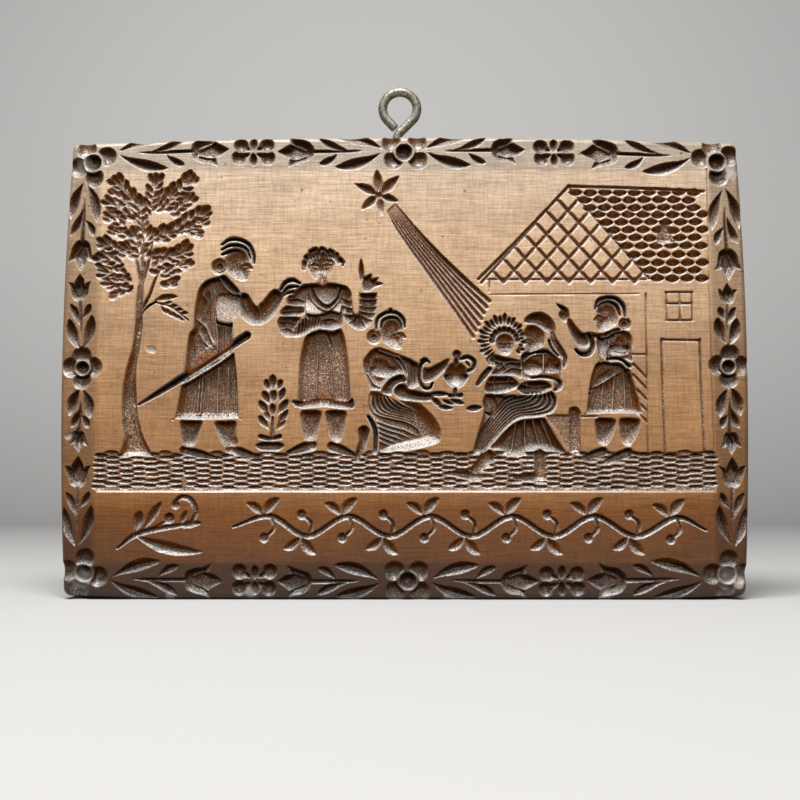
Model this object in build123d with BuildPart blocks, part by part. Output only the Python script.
from build123d import *
import os
from math import cos, hypot, pi, radians, sin

os.makedirs("parts", exist_ok=True)

# Millimetres. The board stands upright: X runs along it, Z up, and the carved face looks towards -Y.

# Board blank, with worn edges that bow out on all four sides
board_width = 187.6
board_height = 127.0
board_thickness = 19.0
corner_inset = 2.0
corner_drop = 2.1
foot_width = 124.0
foot_rise = 1.2
corner_radius = 2.0
back_edge_bevel = 0.8
front_edge_bevel = 1.7

# Flat picture field, inside a border that slopes back to the board's edges
border_top = 10.0
border_bottom = 9.8
border_left = 10.3
border_right = 10.5
border_slope = 0.12
title_band_height = 18.9
ground_height = 11.0
ground_depth = 1.5

# Depths of the carving
figure_depth = 3.0
head_depth = 2.4
arm_depth = 2.6
hair_depth = 2.2
limb_depth = 2.0
detail_depth = 1.6
shoe_depth = 2.3
staff_depth = 3.4
fold_depth = 0.7
trunk_depth = 1.4
spray_depth = 1.7
leaf_depth = 1.8
line_depth = 0.8
pocket_draft = 18.0
cup_sides = 8
bowl_sides = 12
bowl_draft = 32.0
cutter_rise = 0.1

# Size that the picture was drawn at, before it is fitted to the field
pattern_width = 166.8
pattern_height = 107.2

# Border motif
flower_eye_radius = 2.0
petal_radius = 1.85
petal_depth = 1.5
petal_distance = 4.1
flower_clearance = 6.2
corner_flower_inset = 7.6
corner_flower_drop = 0.5
quatrefoil_share = 0.48
tulip_share = 0.56
quatrefoil_clearance = 7.0
tulip_gap = 0.8

# Hanging eye, bent from one length of wire
wire_diameter = 2.6
eye_bore = 7.1
eye_stand = 4.2
eye_offset = -1.2
neck_radius = 3.0
neck_lean = 45.0
shank_offset = -0.8
ring_end_angle = 223.0
tail_length = 3.2
shank_depth = 13.0
shank_tip_length = 3.0
pilot_clearance = 0.03

half_width = board_width / 2
half_thickness = board_thickness / 2
field_left = border_left - half_width
field_right = half_width - border_right
field_bottom = border_bottom
field_top = board_height - border_top
field_width = field_right - field_left
field_height = field_top - field_bottom
ground_bottom = field_bottom + title_band_height
ground_top = ground_bottom + ground_height

front = Plane.XZ.offset(half_thickness)
back = Plane.XZ.offset(-half_thickness)


def spot(x, z):
    """Place on the face of a point of the pattern, which is drawn from the middle of its bottom line."""
    across = (field_left + field_right) / 2 + x * field_width / pattern_width
    up = field_bottom + z * field_height / pattern_height
    return across, up


def border_plane(x, z, width, way, run):
    """Sloping plane of one side of the border, with its x along that side and its origin midway across."""
    depth = border_slope * width / 2 - half_thickness
    normal = (way[0] * border_slope, -1, way[1] * border_slope)
    return Plane(origin=(x, depth, z), x_dir=run, z_dir=normal)


def pocket(plane, outline, depth, draft=pocket_draft):
    """Flat-floored hollow with sloping walls, cut square to the plane."""
    with BuildPart() as cutter:
        with BuildSketch(plane.offset(cutter_rise)):
            with BuildLine():
                Polyline(*outline, close=True)
            make_face()
        extrude(amount=depth + cutter_rise, dir=plane.z_dir * -1, taper=draft)
    return cutter.part


def pit(plane, rim, lowest, depth):
    """Cut that narrows evenly from its rim to one lowest point."""
    corners = [plane.from_local_coords((x, z, cutter_rise)) for x, z in rim]
    bottom = plane.from_local_coords((*lowest, -depth))
    walls = [Face(Wire.make_polygon([a, b, bottom])) for a, b in zip(corners, corners[1:] + corners[:1])]
    with BuildPart() as cutter:
        add(Solid(Shell([Face(Wire.make_polygon(corners))] + walls)))
    return cutter.part


def leaf(plane, start, end, width, depth=leaf_depth, steps=4):
    """Leaf-shaped chip cut, pointed at both ends and widest and deepest midway."""
    length = hypot(end[0] - start[0], end[1] - start[1])
    along = ((end[0] - start[0]) / length, (end[1] - start[1]) / length)

    def edge_point(share, side):
        swell = side * width * 2 * share * (1 - share)
        travel = share * length
        x = start[0] + along[0] * travel - along[1] * swell
        return (x, start[1] + along[1] * travel + along[0] * swell)

    rim = [edge_point(step / steps, 1) for step in range(steps + 1)]
    rim += [edge_point(step / steps, -1) for step in range(steps - 1, 0, -1)]
    return pit(plane, rim, ((start[0] + end[0]) / 2, (start[1] + end[1]) / 2), depth)


def cup(plane, centre, radius, depth=leaf_depth):
    """Small round chip cut."""
    turns = [2 * pi * step / cup_sides for step in range(cup_sides)]
    rim = [(centre[0] + radius * cos(turn), centre[1] + radius * sin(turn)) for turn in turns]
    return pit(plane, rim, centre, depth)


def bowl(centre, radius, depth):
    """Larger round hollow with a flat floor, on the flat field."""
    turns = [2 * pi * step / bowl_sides for step in range(bowl_sides)]
    rim = [(centre[0] + radius * cos(turn), centre[1] + radius * sin(turn)) for turn in turns]
    return pocket(front, rim, depth, bowl_draft)


def groove(start, end, width, depth=line_depth):
    """Straight V cut of one width, from point to point of the flat field."""
    length = hypot(end[0] - start[0], end[1] - start[1])
    along = front.x_dir * ((end[0] - start[0]) / length) + front.y_dir * ((end[1] - start[1]) / length)
    half_top = width / 2 * (depth + cutter_rise) / depth
    with BuildPart() as cutter:
        section = Plane(front.from_local_coords((*start, 0)), x_dir=along.cross(front.z_dir), z_dir=along)
        with BuildSketch(section):
            with BuildLine():
                Polyline((0, depth), (half_top, -cutter_rise), (-half_top, -cutter_rise), close=True)
            make_face()
        extrude(amount=length)
    return cutter.part


def sprig(side, base, tip):
    """Strand of the border: a pair of large leaves, a pair of small ones, and a tulip at its tip."""
    plane, half_run, bow = side

    def place(share, across):
        along = base + (tip - base) * share
        return along, across - bow / 2 * (along / half_run) ** 2

    cutters = [leaf(plane, place(0.20, 0), place(0.65, 0), 0.8, line_depth, 2)]
    for way in (1, -1):
        cutters.append(leaf(plane, place(0.02, 0.8 * way), place(0.42, 4.0 * way), 2.6))
        cutters.append(leaf(plane, place(0.34, 0.8 * way), place(0.60, 3.4 * way), 1.5, 0.9, 2))
        cutters.append(leaf(plane, place(0.69, 1.3 * way), place(0.93, 4.0 * way), 1.4, 0.9, 2))
    cutters.append(leaf(plane, place(0.67, 0), place(1.0, 0), 3.6, 1.7))
    return cutters


def flower(plane, centre=(0, 0)):
    """Round eye with four petals about it."""
    cutters = [cup(plane, centre, flower_eye_radius)]
    for turn in (45, 135, 225, 315):
        angle = radians(turn)
        petal = (centre[0] + petal_distance * cos(angle), centre[1] + petal_distance * sin(angle))
        cutters.append(cup(plane, petal, petal_radius, petal_depth))
    return cutters


def quatrefoil(plane, along):
    """Two upright petals between four round ones."""
    cutters = []
    for side in (1, -1):
        cutters.append(leaf(plane, (along, 0.3 * side), (along, 4.2 * side), 2.0, steps=2))
        for way in (1, -1):
            cutters.append(cup(plane, (along + 3.6 * way, 2.0 * side), petal_radius, petal_depth))
    return cutters


def long_border(side):
    """Top or bottom border, without its corner flowers."""
    plane, half_run, bow = side
    run = half_run - corner_flower_inset
    split = run * quatrefoil_share
    cutters = flower(plane)
    for way in (1, -1):
        cutters += quatrefoil(plane, split * way)
        cutters += sprig(side, flower_clearance * way, (split - quatrefoil_clearance) * way)
        cutters += sprig(side, (run - flower_clearance) * way, (split + quatrefoil_clearance) * way)
    return cutters


def short_border(side):
    """Left or right border, without its corner flowers."""
    plane, half_run, bow = side
    run = half_run - corner_flower_inset
    split = run * tulip_share
    cutters = flower(plane)
    for way in (1, -1):
        cutters += sprig(side, flower_clearance * way, (split - tulip_gap) * way)
        cutters += sprig(side, (run - flower_clearance) * way, (split + tulip_gap) * way)
    return cutters


def corner_flowers():
    """A flower in each corner, cut square to the face where the sloping sides meet."""
    cutters = []
    for x in (corner_flower_inset - half_width, half_width - corner_flower_inset):
        for z in (corner_flower_inset, board_height - corner_flower_inset):
            cutters += flower(front.offset(-corner_flower_drop), (x, z))
    return cutters


def leaves(strokes, width, depth=leaf_depth, steps=4):
    """Several leaf cuts of one width, given as x, z, x, z of the pattern."""
    return [leaf(front, spot(x0, z0), spot(x1, z1), width, depth, steps) for x0, z0, x1, z1 in strokes]


def hollow(*points, depth=figure_depth):
    """Pocket in the flat field whose corners are points of the pattern."""
    return pocket(front, [spot(x, z) for x, z in points], depth)


def tree():
    """Bare trunk that forks into limbs, under a crown of long pointed sprays."""
    trunk = [(-76.8, 29), (-75.6, 40), (-76, 52), (-73.8, 62), (-73.2, 76), (-71.2, 76), (-71.6, 62),
             (-72.6, 50), (-71, 36), (-68, 29)]
    cutters = [hollow(*trunk, depth=trunk_depth)]
    cutters += leaves([(-71.6, 78.6, -69.4, 87.2), (-73, 78.6, -75.4, 86.2), (-71, 69.8, -66.6, 79.2)], 1.4)
    crown = [(-74.3, 98.6, -79.8, 105.4), (-69.4, 94.8, -68.3, 106), (-66.2, 95.2, -57.6, 105.8),
             (-67.5, 87.6, -53.2, 96.6), (-69, 80.4, -57.8, 86.2), (-75.8, 94, -81.8, 99.8)]
    cutters += leaves(crown, 4.4, spray_depth)
    crown = [(-63, 95.2, -58, 99.2), (-66.5, 78.2, -58.3, 82), (-76.6, 90.8, -82, 93.8),
             (-78, 84.2, -83.4, 87.4), (-77.6, 81.2, -83.4, 81.8), (-75.6, 77.8, -82.8, 76.6),
             (-72, 85.6, -73.6, 93.2), (-69, 90.8, -61.6, 93), (-67.4, 70.6, -59.8, 67.2),
             (-75.4, 88.6, -81.4, 90.6), (-73.4, 94.2, -75.8, 102)]
    cutters += leaves(crown, 2.6, spray_depth)
    return cutters


def star():
    """Six-pointed star with a fan of rays falling from it."""
    centre = (-6.9, 100.8)
    tips = [(-7.4, 107.1), (-1.6, 105.5), (-1.5, 98.6), (-6.1, 94.9), (-12.2, 96.6), (-13.2, 103.4)]
    cutters = []
    for x, z in tips:
        near = (centre[0] + (x - centre[0]) * 0.25, centre[1] + (z - centre[1]) * 0.25)
        cutters.append(leaf(front, spot(*near), spot(x, z), 2.6))
    rays = 7
    for ray in range(rays):
        share = ray / (rays - 1)
        top = (-4.6 + 2.2 * share, 96.0 + 1.4 * share)
        foot = (18.6 + 4.6 * share, 61.4 + 8.6 * share)
        cutters.append(leaf(front, spot(*top), spot(*foot), 0.9, line_depth, 2))
    return cutters


def roof():
    """Thatch drawn as a lattice on the left, and rows of scale tiles on the right."""
    cutters = [groove(spot(20.6, 77), spot(45, 102.4), 0.9), groove(spot(45, 102.4), spot(81.6, 101), 1.0)]
    cutters.append(groove(spot(23, 76.8), spot(66, 76.6), 0.8))
    lattice_step = 5.95
    for line in range(7):
        foot = 27.3 + lattice_step * line
        reach = min((64 - foot) / 2.6, 19)
        cutters.append(groove(spot(foot, 77.4), spot(foot + reach, 77.4 + 1.11 * reach), 0.7))
    for line in range(6):
        foot = 30.3 + lattice_step * line
        rise = min((foot - 21.6) / 2.1, 19.5)
        cutters.append(groove(spot(foot, 77.4), spot(foot - rise, 77.4 + 1.11 * rise), 0.7))
    tile_width = 4.05
    tile_rise = 2.1
    for row in range(12):
        left = 48.8 + 1.8 * row
        height = 100 - tile_rise * row
        count = int((82 - left) / tile_width)
        for column in range(count + 1):
            middle = left + tile_width * column
            in_dormer = 68 < middle < 74.6 and 85 < height < 93
            if middle < 81 and not in_dormer:
                cutters += leaves([(middle - 1.75, height, middle + 1.75, height)], 1.8, 1.0, 2)
    cutters.append(hollow((69, 86.7), (73.3, 86.7), (73.3, 90.5), (71.2, 92.4), (69, 90.5),
                          depth=detail_depth))
    return cutters


def house_front():
    """Barred window, door and posts of the house."""
    lines = [(69.9, 60, 80.3, 60.2), (70.0, 60, 70.5, 31.5), (80.2, 60, 81, 31), (65.8, 75, 65.8, 30),
             (71.3, 70, 78.2, 70), (71.6, 65.6, 78.4, 65.6), (71.4, 73, 71.6, 65.6), (75, 73.2, 75.2, 65.6),
             (78.2, 73, 78.4, 65.6), (71.3, 73.2, 78.2, 73.2), (23.4, 76.5, 23.4, 73.6)]
    return [groove(spot(x0, z0), spot(x1, z1), 0.8) for x0, z0, x1, z1 in lines]


def folds(strokes, width):
    """Folds of cloth, cut into the floor of a figure's pocket."""
    floor = front.offset(-figure_depth)
    return [leaf(floor, spot(x0, z0), spot(x1, z1), width, fold_depth, 2) for x0, z0, x1, z1 in strokes]


def pleats(top_left, top_right, foot_left, foot_right, count):
    """Folds that fan down a skirt."""
    strokes = []
    for fold in range(count):
        share = (fold + 0.5) / count
        top = tuple(a + (b - a) * share for a, b in zip(top_left, top_right))
        foot = tuple(a + (b - a) * share for a, b in zip(foot_left, foot_right))
        strokes.append((*top, *foot))
    return folds(strokes, abs(foot_right[0] - foot_left[0]) / count)


def head(x, z, radius, bun=None):
    """Plain round head, with its knot of hair where it has one."""
    cutters = [bowl(spot(x, z), radius, head_depth)]
    if bun:
        cutters.append(cup(front, spot(*bun), 1.9))
    return cutters


def herder_with_staff():
    """Standing figure on the left, looking right, with a long staff."""
    cutters = head(-45.4, 81.8, 4.6, (-50.8, 80.2))
    cutters.append(hollow((-50, 84.6), (-50.2, 86.6), (-46.5, 88.2), (-43, 87.4), (-41, 84.8), (-40.9, 81.8),
                          (-43.6, 84.8), (-46.4, 85.6), depth=hair_depth))
    cutters.append(hollow((-49, 78.2), (-46.2, 76.2), (-44.4, 72.6), (-45.2, 67.2), (-46.6, 63.2),
                          (-46, 56.2), (-45, 48.2), (-44.6, 39), (-61.8, 39), (-60.4, 46.2), (-59, 56.2),
                          (-57.4, 64.2), (-57.2, 70.2), (-56, 74.8), (-53, 77.2)))
    cutters += folds([(-54, 74.2, -55, 65.2), (-55, 65.2, -50.8, 57.6)], 3.4)
    cutters += pleats((-57.6, 55.2), (-47.4, 55.2), (-60.4, 40), (-45.9, 40), 6)
    cutters.append(hollow((-43.6, 72.2), (-39, 72.2), (-36.4, 73.8), (-33, 72.2), (-35, 69.2), (-37.4, 66.6),
                          (-40, 64.8), (-43.6, 67), depth=arm_depth))
    cutters += leaves([(-72.5, 42, -42, 62)], 2.6, staff_depth)
    cutters.append(hollow((-60.4, 38.2), (-55, 38.2), (-56.4, 30.6), (-59.9, 30.6), depth=limb_depth))
    cutters.append(hollow((-51.2, 38.2), (-45.6, 38.2), (-45.6, 30.6), (-48.4, 30.6), depth=limb_depth))
    cutters += leaves([(-60.8, 30, -50.2, 28), (-48.6, 30, -38, 28.4)], 2.4, shoe_depth)
    return cutters


def potted_plant():
    """Low pot with an upright bush."""
    cutters = [hollow((-40, 31.6), (-38.6, 30.2), (-34, 30.2), (-32.5, 31.6), (-33.5, 33.8), (-39, 33.8),
               depth=limb_depth)]
    tips = [(-39.2, 43.5), (-38.2, 45.8), (-37.6, 48.8), (-35.6, 50.6), (-33.2, 49), (-32.2, 46.6),
            (-31.7, 43.8)]
    for x, z in tips:
        cutters += leaves([(-35.6 + (x + 35.6) * 0.45, z - 4.2, x, z)], 1.4)
    cutters += leaves([(-36.6, 36.4, -39.2, 39.6), (-34.6, 36.2, -31.8, 40.2), (-35.6, 35, -35.6, 41.5)], 1.4)
    return cutters


def girl_in_puffed_sleeves():
    """Standing figure seen from the front, one hand raised."""
    cutters = head(-22.8, 80.6, 4.3)
    cutters.append(hollow((-28, 81.2), (-27.8, 84), (-24, 86.4), (-20, 85.2), (-17.6, 83), (-19.4, 82),
                          (-22.6, 83.4), (-26, 82.8), depth=hair_depth))
    cutters.append(hollow((-28.4, 75.8), (-22, 76.2), (-17.2, 75.4), (-14.8, 73.2), (-17, 67.8), (-17.8, 64),
                          (-23, 64), (-27, 67.8), (-30.8, 72)))
    cutters += leaves([(-33.2, 72.4, -26.8, 71.2), (-34, 68.8, -26.6, 68.4)], 3.0, arm_depth)
    cutters.append(hollow((-34.2, 65), (-32.6, 67.2), (-28, 66.4), (-24, 67), (-23.4, 64), (-27, 62),
                          (-31, 61.2), (-33.6, 62.4), depth=arm_depth))
    cutters.append(hollow((-17.4, 73.6), (-14.6, 72.2), (-13.7, 67.8), (-12.5, 67.8), (-12.3, 73), (-7.7, 73),
                          (-8, 67.8), (-9.4, 64.4), (-12.4, 63), (-15.8, 64.4), (-17, 67.8), depth=arm_depth))
    cutters.append(hollow((-12.2, 78.2), (-10.6, 77.2), (-8.8, 77.4), (-6.6, 75.6), (-8.6, 74), (-11.6, 74),
                          depth=detail_depth))
    cutters += leaves([(-11.6, 76.2, -11.9, 82.6)], 1.6)
    cutters += leaves([(-34, 73.2, -28.2, 76)], 2.4, limb_depth)
    cutters.append(hollow((-26.6, 62), (-22.4, 63.2), (-17.6, 63.2), (-15.8, 54.2), (-14.7, 44.8),
                          (-29.2, 44.8), (-28.4, 56.2)))
    cutters += pleats((-27, 60.2), (-17.2, 60.2), (-28.6, 45.6), (-15.2, 45.6), 3)
    cutters.append(hollow((-30, 43.8), (-22, 44.4), (-13.9, 44), (-13.7, 42.1), (-22, 42.3), (-29.8, 42.1),
                          depth=arm_depth))
    cutters.append(hollow((-28, 41.2), (-22.3, 41.2), (-24.2, 33), (-27.6, 33), depth=limb_depth))
    cutters.append(hollow((-21.3, 41.2), (-15.5, 41.2), (-16.6, 33), (-20.2, 33), depth=limb_depth))
    cutters += leaves([(-31.6, 29, -24.4, 32.8), (-20.4, 32.4, -12.9, 28.2)], 2.7, shoe_depth)
    return cutters


def kneeling_herder():
    """Kneeling figure that holds out a jug."""
    cutters = head(-3.3, 62.4, 4.5, (-8.3, 60.8))
    cutters += leaves([(-7.6, 63.4, -3.6, 67.6), (-3.4, 67.6, 0.4, 63.8)], 1.8, hair_depth)
    cutters.append(hollow((-11, 54.2), (-8.4, 57.2), (-5.4, 58), (-1, 56.2), (3.6, 54.4), (4.8, 50.8),
                          (4.4, 48.2), (0, 49.4), (-4.4, 49), (-6.2, 47), (-8.9, 47), (-10.4, 50.2)))
    cutters += folds([(-8.6, 54.8, -3.8, 49.8)], 5.0)
    cutters.append(hollow((5.4, 53), (8.4, 53.8), (12.6, 55.4), (11.8, 52.6), (9.4, 49.8), (6.4, 49),
                          depth=arm_depth))
    cutters += leaves([(4.6, 49.8, 8, 47.6)], 1.8, limb_depth)
    cutters.append(hollow((-3.2, 47.2), (-0.6, 48.6), (2.4, 47), (9.2, 46), (8.4, 44.2), (2, 44.3),
                          (-2, 45.2), depth=arm_depth))
    cutters += leaves([(9.4, 43.8, 16.4, 43), (7.2, 43.2, 13.6, 41.6)], 1.7, limb_depth)
    cutters.append(hollow((-8.9, 46), (-3, 44.6), (3.4, 42.8), (8.4, 39.2), (9.9, 35.2), (9, 32.8), (2, 30.4),
                          (-7.4, 29.8), (-8.4, 36.2), (-9.6, 41.6)))
    cutters += folds([(-7.4, 43.6, 6, 37.2), (-7, 40.6, 5, 35.6), (-6.8, 37.8, 3.4, 34.4),
                      (-6.6, 34.8, 4, 32.8)], 1.6)
    cutters += leaves([(-13, 28, -10, 36.6)], 3.2, shoe_depth)
    cutters.append(bowl(spot(14, 51), 3.5, arm_depth))
    cutters.append(cup(front, spot(14.3, 56.2), 1.2))
    cutters.append(cup(front, spot(17.6, 53.8), 1.8))
    cutters += leaves([(12.2, 45.4, 15.6, 45.2)], 1.8, limb_depth)
    return cutters


def mother_and_child():
    """Seated figure in long folds, with a small child that is ringed by rays."""
    cutters = head(35.6, 61, 4.2) + head(27.3, 60, 3.2)
    ray_count = 16
    for ray in range(ray_count):
        turn = radians(228 - 230 * ray / (ray_count - 1))
        near = (27.3 + 4.3 * cos(turn), 60.1 + 4.3 * sin(turn))
        far = (27.3 + 7.1 * cos(turn), 60.1 + 7.1 * sin(turn))
        cutters.append(leaf(front, spot(*near), spot(*far), 1.2, steps=2))
    cutters.append(hollow((32.4, 65), (34.4, 67.2), (37.4, 67.6), (40.4, 65.6), (41, 61.4), (39.4, 59.2),
                          (38.4, 63.2), (35.6, 64.8), depth=hair_depth))
    cutters += leaves([(40.4, 61.6, 43.8, 53.4)], 2.0, limb_depth)
    cutters.append(hollow((32.4, 56.2), (36, 57.6), (39.8, 57.2), (42.4, 53.8), (42.2, 47.6), (39.6, 46.4),
                          (31.6, 46.8), (33, 50.6)))
    cutters += folds([(33.2, 55, 36.4, 50.8), (40, 55.6, 41, 49.6)], 3.0)
    cutters.append(hollow((24.2, 56.2), (30, 54.6), (31.8, 53.6), (31.2, 49.4), (26.4, 47.6), (22.4, 46.6),
                          (22.6, 49.6), (25, 52.6), depth=arm_depth))
    cutters += leaves([(24.2, 53.2, 19.9, 47.6)], 1.9, limb_depth)
    cutters.append(hollow((22.2, 45.8), (32, 46), (39.8, 45), (41, 42.6), (38.6, 39.4), (41.4, 34.2),
                          (44.2, 29.8), (33, 28.8), (24, 30.2), (18.8, 29.2), (20.4, 36.2), (21, 42.2)))
    cutters += folds([(28.6, 43.8, 39.6, 43.6), (27.6, 41.6, 39.4, 41.8), (24.6, 40.2, 20.8, 31.2),
                      (28, 39.2, 22.6, 31), (31, 36.8, 29.4, 30.6), (34, 37.6, 33.8, 30.6),
                      (37, 37.6, 38.6, 31.2), (39.4, 36.2, 42, 31.2)], 1.8)
    cutters.append(hollow((19.4, 28.2), (23.4, 29.2), (21, 24), (18, 24.2), depth=limb_depth))
    cutters.append(hollow((34.8, 28.4), (38.6, 28.6), (38.4, 24), (35, 24.2), depth=limb_depth))
    cutters += leaves([(11.6, 24.8, 21, 22.8), (29.4, 22.6, 39.6, 24)], 3.0, shoe_depth)
    cutters.append(hollow((44.5, 29.6), (44.5, 40.6), (46.1, 42), (47.8, 40.6), (47.8, 29.6),
                          depth=detail_depth))
    return cutters


def child_pointing_up():
    """Small standing figure on the right, looking left, with one arm raised."""
    cutters = head(55.2, 67, 4.3, (60.1, 64.9))
    cutters += leaves([(51.6, 68.6, 55.8, 71.9), (55.6, 71.9, 59.9, 68)], 2.0, hair_depth)
    cutters.append(hollow((52.6, 62), (56.2, 62.8), (58.4, 63.4), (60.8, 61.8), (61.8, 58.2), (61.6, 55.2),
                          (53.4, 55.2)))
    cutters += folds([(59, 62, 58.6, 56)], 3.8)
    cutters.append(hollow((44.8, 66.4), (48, 62.8), (52.2, 61.8), (51.8, 58.2), (48.8, 56), (46.6, 57),
                          (45.2, 61.2), (44, 64.2), depth=arm_depth))
    cutters.append(hollow((42.2, 67.8), (43.8, 68.8), (44.9, 67.4), (43.8, 65.2), (42.2, 66.2),
                          depth=detail_depth))
    cutters += leaves([(41.2, 70.2, 44.6, 67.2)], 1.5)
    cutters.append(hollow((53.2, 54.2), (61.8, 52.8), (63.2, 44.8), (64.2, 40.5), (49.6, 40.5), (51, 48.4)))
    cutters += pleats((54.2, 51.6), (61.2, 50.8), (50.6, 41.4), (63.2, 41.4), 5)
    cutters += folds([(51.4, 46.8, 58.8, 53.2)], 2.6)
    cutters.append(hollow((51.4, 39.6), (56.8, 39.6), (55, 31.8), (52.2, 31.8), depth=limb_depth))
    cutters.append(hollow((58, 39.6), (63.4, 39.6), (62.2, 31.2), (59.4, 31.2), depth=limb_depth))
    cutters += leaves([(47.4, 27.6, 55.2, 30.4), (53.9, 26.6, 62.6, 30)], 2.2, shoe_depth)
    return cutters


def title_ornament():
    """Sprig, and a running vine that fills the rest of the band below the picture."""
    cutters = leaves([(-77, 4, -66, 8.8), (-66, 8.8, -54.6, 10.8)], 1.4, line_depth)
    cutters += leaves([(-72, 7.8, -71, 13.6), (-70, 8.8, -65.4, 16.2), (-72, 6.8, -54, 3.2)], 2.4)
    cutters += [cup(front, spot(-63.2, 12), 1.3), cup(front, spot(-61.5, 15.8), 1.2)]
    cutters += leaves([(-57.4, 11.1, -56.4, 16.6)], 1.4, line_depth)
    vine_pitch = 11.0
    for turn in range(12):
        x = -40.5 + vine_pitch * turn
        side = 1 if turn % 2 else -1
        cutters += leaves([(x - 5.2, 9.9 + 2.3 * side, x + 5.2, 9.9 - 2.3 * side)], 1.3, line_depth, 2)
    for turn in range(11):
        x = -35.8 + vine_pitch * turn
        side = -1 if turn % 2 else 1
        knee = 9.9 + 2.5 * side
        cutters += leaves([(x - 1.5, knee, x + 2.4, knee + 4.4 * side)], 2.2, steps=2)
        cutters += leaves([(x - 2, knee, x - 5.8, knee + 3.2 * side)], 2.2, steps=2)
        cutters.append(cup(front, spot(x - 1.4, knee - 5.8 * side), 1.15))
    return cutters


def eye_centre_height():
    return board_height + eye_stand + wire_diameter + eye_bore / 2


field_middle = (field_bottom + field_top) / 2
half_height = board_height / 2
top_slope = border_plane(0, field_top + border_top / 2, border_top, (0, 1), (1, 0, 0))
bottom_slope = border_plane(0, border_bottom / 2, border_bottom, (0, -1), (1, 0, 0))
left_slope = border_plane(border_left / 2 - half_width, field_middle, border_left, (-1, 0), (0, 0, 1))
right_slope = border_plane(half_width - border_right / 2, field_middle, border_right, (1, 0), (0, 0, 1))

carving = long_border((top_slope, half_width, corner_drop))
carving += long_border((bottom_slope, half_width, -foot_rise))
carving += short_border((left_slope, half_height, corner_inset))
carving += short_border((right_slope, half_height, -corner_inset)) + corner_flowers()
carving += tree() + star() + title_ornament() + roof() + house_front()
figures = [herder_with_staff(), potted_plant(), girl_in_puffed_sleeves(), kneeling_herder()]
figures += [mother_and_child(), child_pointing_up()]

shank_x = eye_offset + shank_offset

with BuildPart() as carved_board:
    with BuildSketch(back):
        with BuildLine():
            corner_x = half_width - corner_inset
            Line((-foot_width / 2, 0), (foot_width / 2, 0))
            foot_arc = TangentArc((foot_width / 2, 0), (corner_x, foot_rise), tangent=(1, 0))
            corner_top = board_height - corner_drop
            ThreePointArc(foot_arc @ 1, (half_width, (foot_rise + corner_top) / 2), (corner_x, corner_top))
            ThreePointArc((corner_x, corner_top), (0, board_height), (-corner_x, corner_top))
            left_middle = (-half_width, (foot_rise + corner_top) / 2)
            ThreePointArc((-corner_x, corner_top), left_middle, (-corner_x, foot_rise))
            TangentArc((-foot_width / 2, 0), (-corner_x, foot_rise), tangent=(-1, 0))
        make_face()
        corners = vertices().filter_by(lambda v: abs(v.X) > corner_x - 0.01)
        fillet(corners, corner_radius)
    extrude(amount=board_thickness)
    chamfer(faces().sort_by(Axis.Y)[-1].edges(), back_edge_bevel)
    chamfer(faces().sort_by(Axis.Y)[0].edges(), front_edge_bevel)
    for slope in (top_slope, bottom_slope, left_slope, right_slope):
        split(bisect_by=slope, keep=Keep.BOTTOM)
    with BuildSketch(front) as ground:
        with BuildLine():
            ground_left = (field_left + 0.4, ground_bottom)
            ground_right = (field_right - 0.4, ground_bottom)
            Polyline(ground_left, ground_right, (field_right - 0.4, ground_top),
                     (field_left + 0.4, ground_top), close=True)
        make_face()
    extrude(amount=ground_depth, dir=front.z_dir * -1, mode=Mode.SUBTRACT)
    add(carving, mode=Mode.SUBTRACT)
    for figure in figures:
        add(figure, mode=Mode.SUBTRACT)
    with BuildSketch(Plane.XY.offset(board_height + 1)):
        with Locations((shank_x, 0)):
            Circle(wire_diameter / 2 + pilot_clearance)
    extrude(amount=-(shank_depth + 1), mode=Mode.SUBTRACT)

with BuildPart() as hanging_eye:
    wire_radius = wire_diameter / 2
    ring_radius = (eye_bore + wire_diameter) / 2
    ring_centre = (eye_offset, eye_centre_height())
    lean = radians(neck_lean)
    join = (ring_centre[0] + ring_radius * cos(lean), ring_centre[1] - ring_radius * sin(lean))
    bend_end_x = shank_x + neck_radius * (1 - cos(lean))
    straight = (join[0] - bend_end_x) / sin(lean)
    bend_end = (bend_end_x, join[1] - straight * cos(lean))
    neck_z = bend_end[1] - neck_radius * sin(lean)
    tail = radians(ring_end_angle)
    tail_start = (ring_centre[0] + ring_radius * cos(tail), ring_centre[1] + ring_radius * sin(tail))
    shank_foot = board_height - shank_depth + shank_tip_length
    with BuildSketch(Plane.XY.offset(shank_foot)):
        with Locations((shank_x, 0)):
            Circle(wire_radius)
    extrude(amount=neck_z - shank_foot)
    with Locations(Location((shank_x, 0, shank_foot))):
        Cone(0.3, wire_radius, shank_tip_length, align=(Align.CENTER, Align.CENTER, Align.MAX))
    with BuildSketch(Plane.XY.offset(neck_z)):
        with Locations((shank_x, 0)):
            Circle(wire_radius)
    revolve(axis=Axis((shank_x + neck_radius, 0, neck_z), (0, 1, 0)), revolution_arc=neck_lean)
    leaning = Plane(origin=(bend_end[0], 0, bend_end[1]), z_dir=(sin(lean), 0, cos(lean)))
    with BuildSketch(leaning):
        Circle(wire_radius)
    extrude(amount=straight)
    with BuildSketch(Plane(origin=(join[0], 0, join[1]), z_dir=leaning.z_dir)):
        Circle(wire_radius)
    ring_axis = Axis((ring_centre[0], 0, ring_centre[1]), (0, -1, 0))
    revolve(axis=ring_axis, revolution_arc=ring_end_angle + neck_lean)
    with BuildSketch(Plane(origin=(tail_start[0], 0, tail_start[1]), z_dir=(-sin(tail), 0, cos(tail)))):
        Circle(wire_radius)
    extrude(amount=tail_length)

for node, label in ((carved_board, "carved_board"), (hanging_eye, "hanging_eye")):
    node.part.label = label
    export_step(node.part, f"parts/{label}.step")
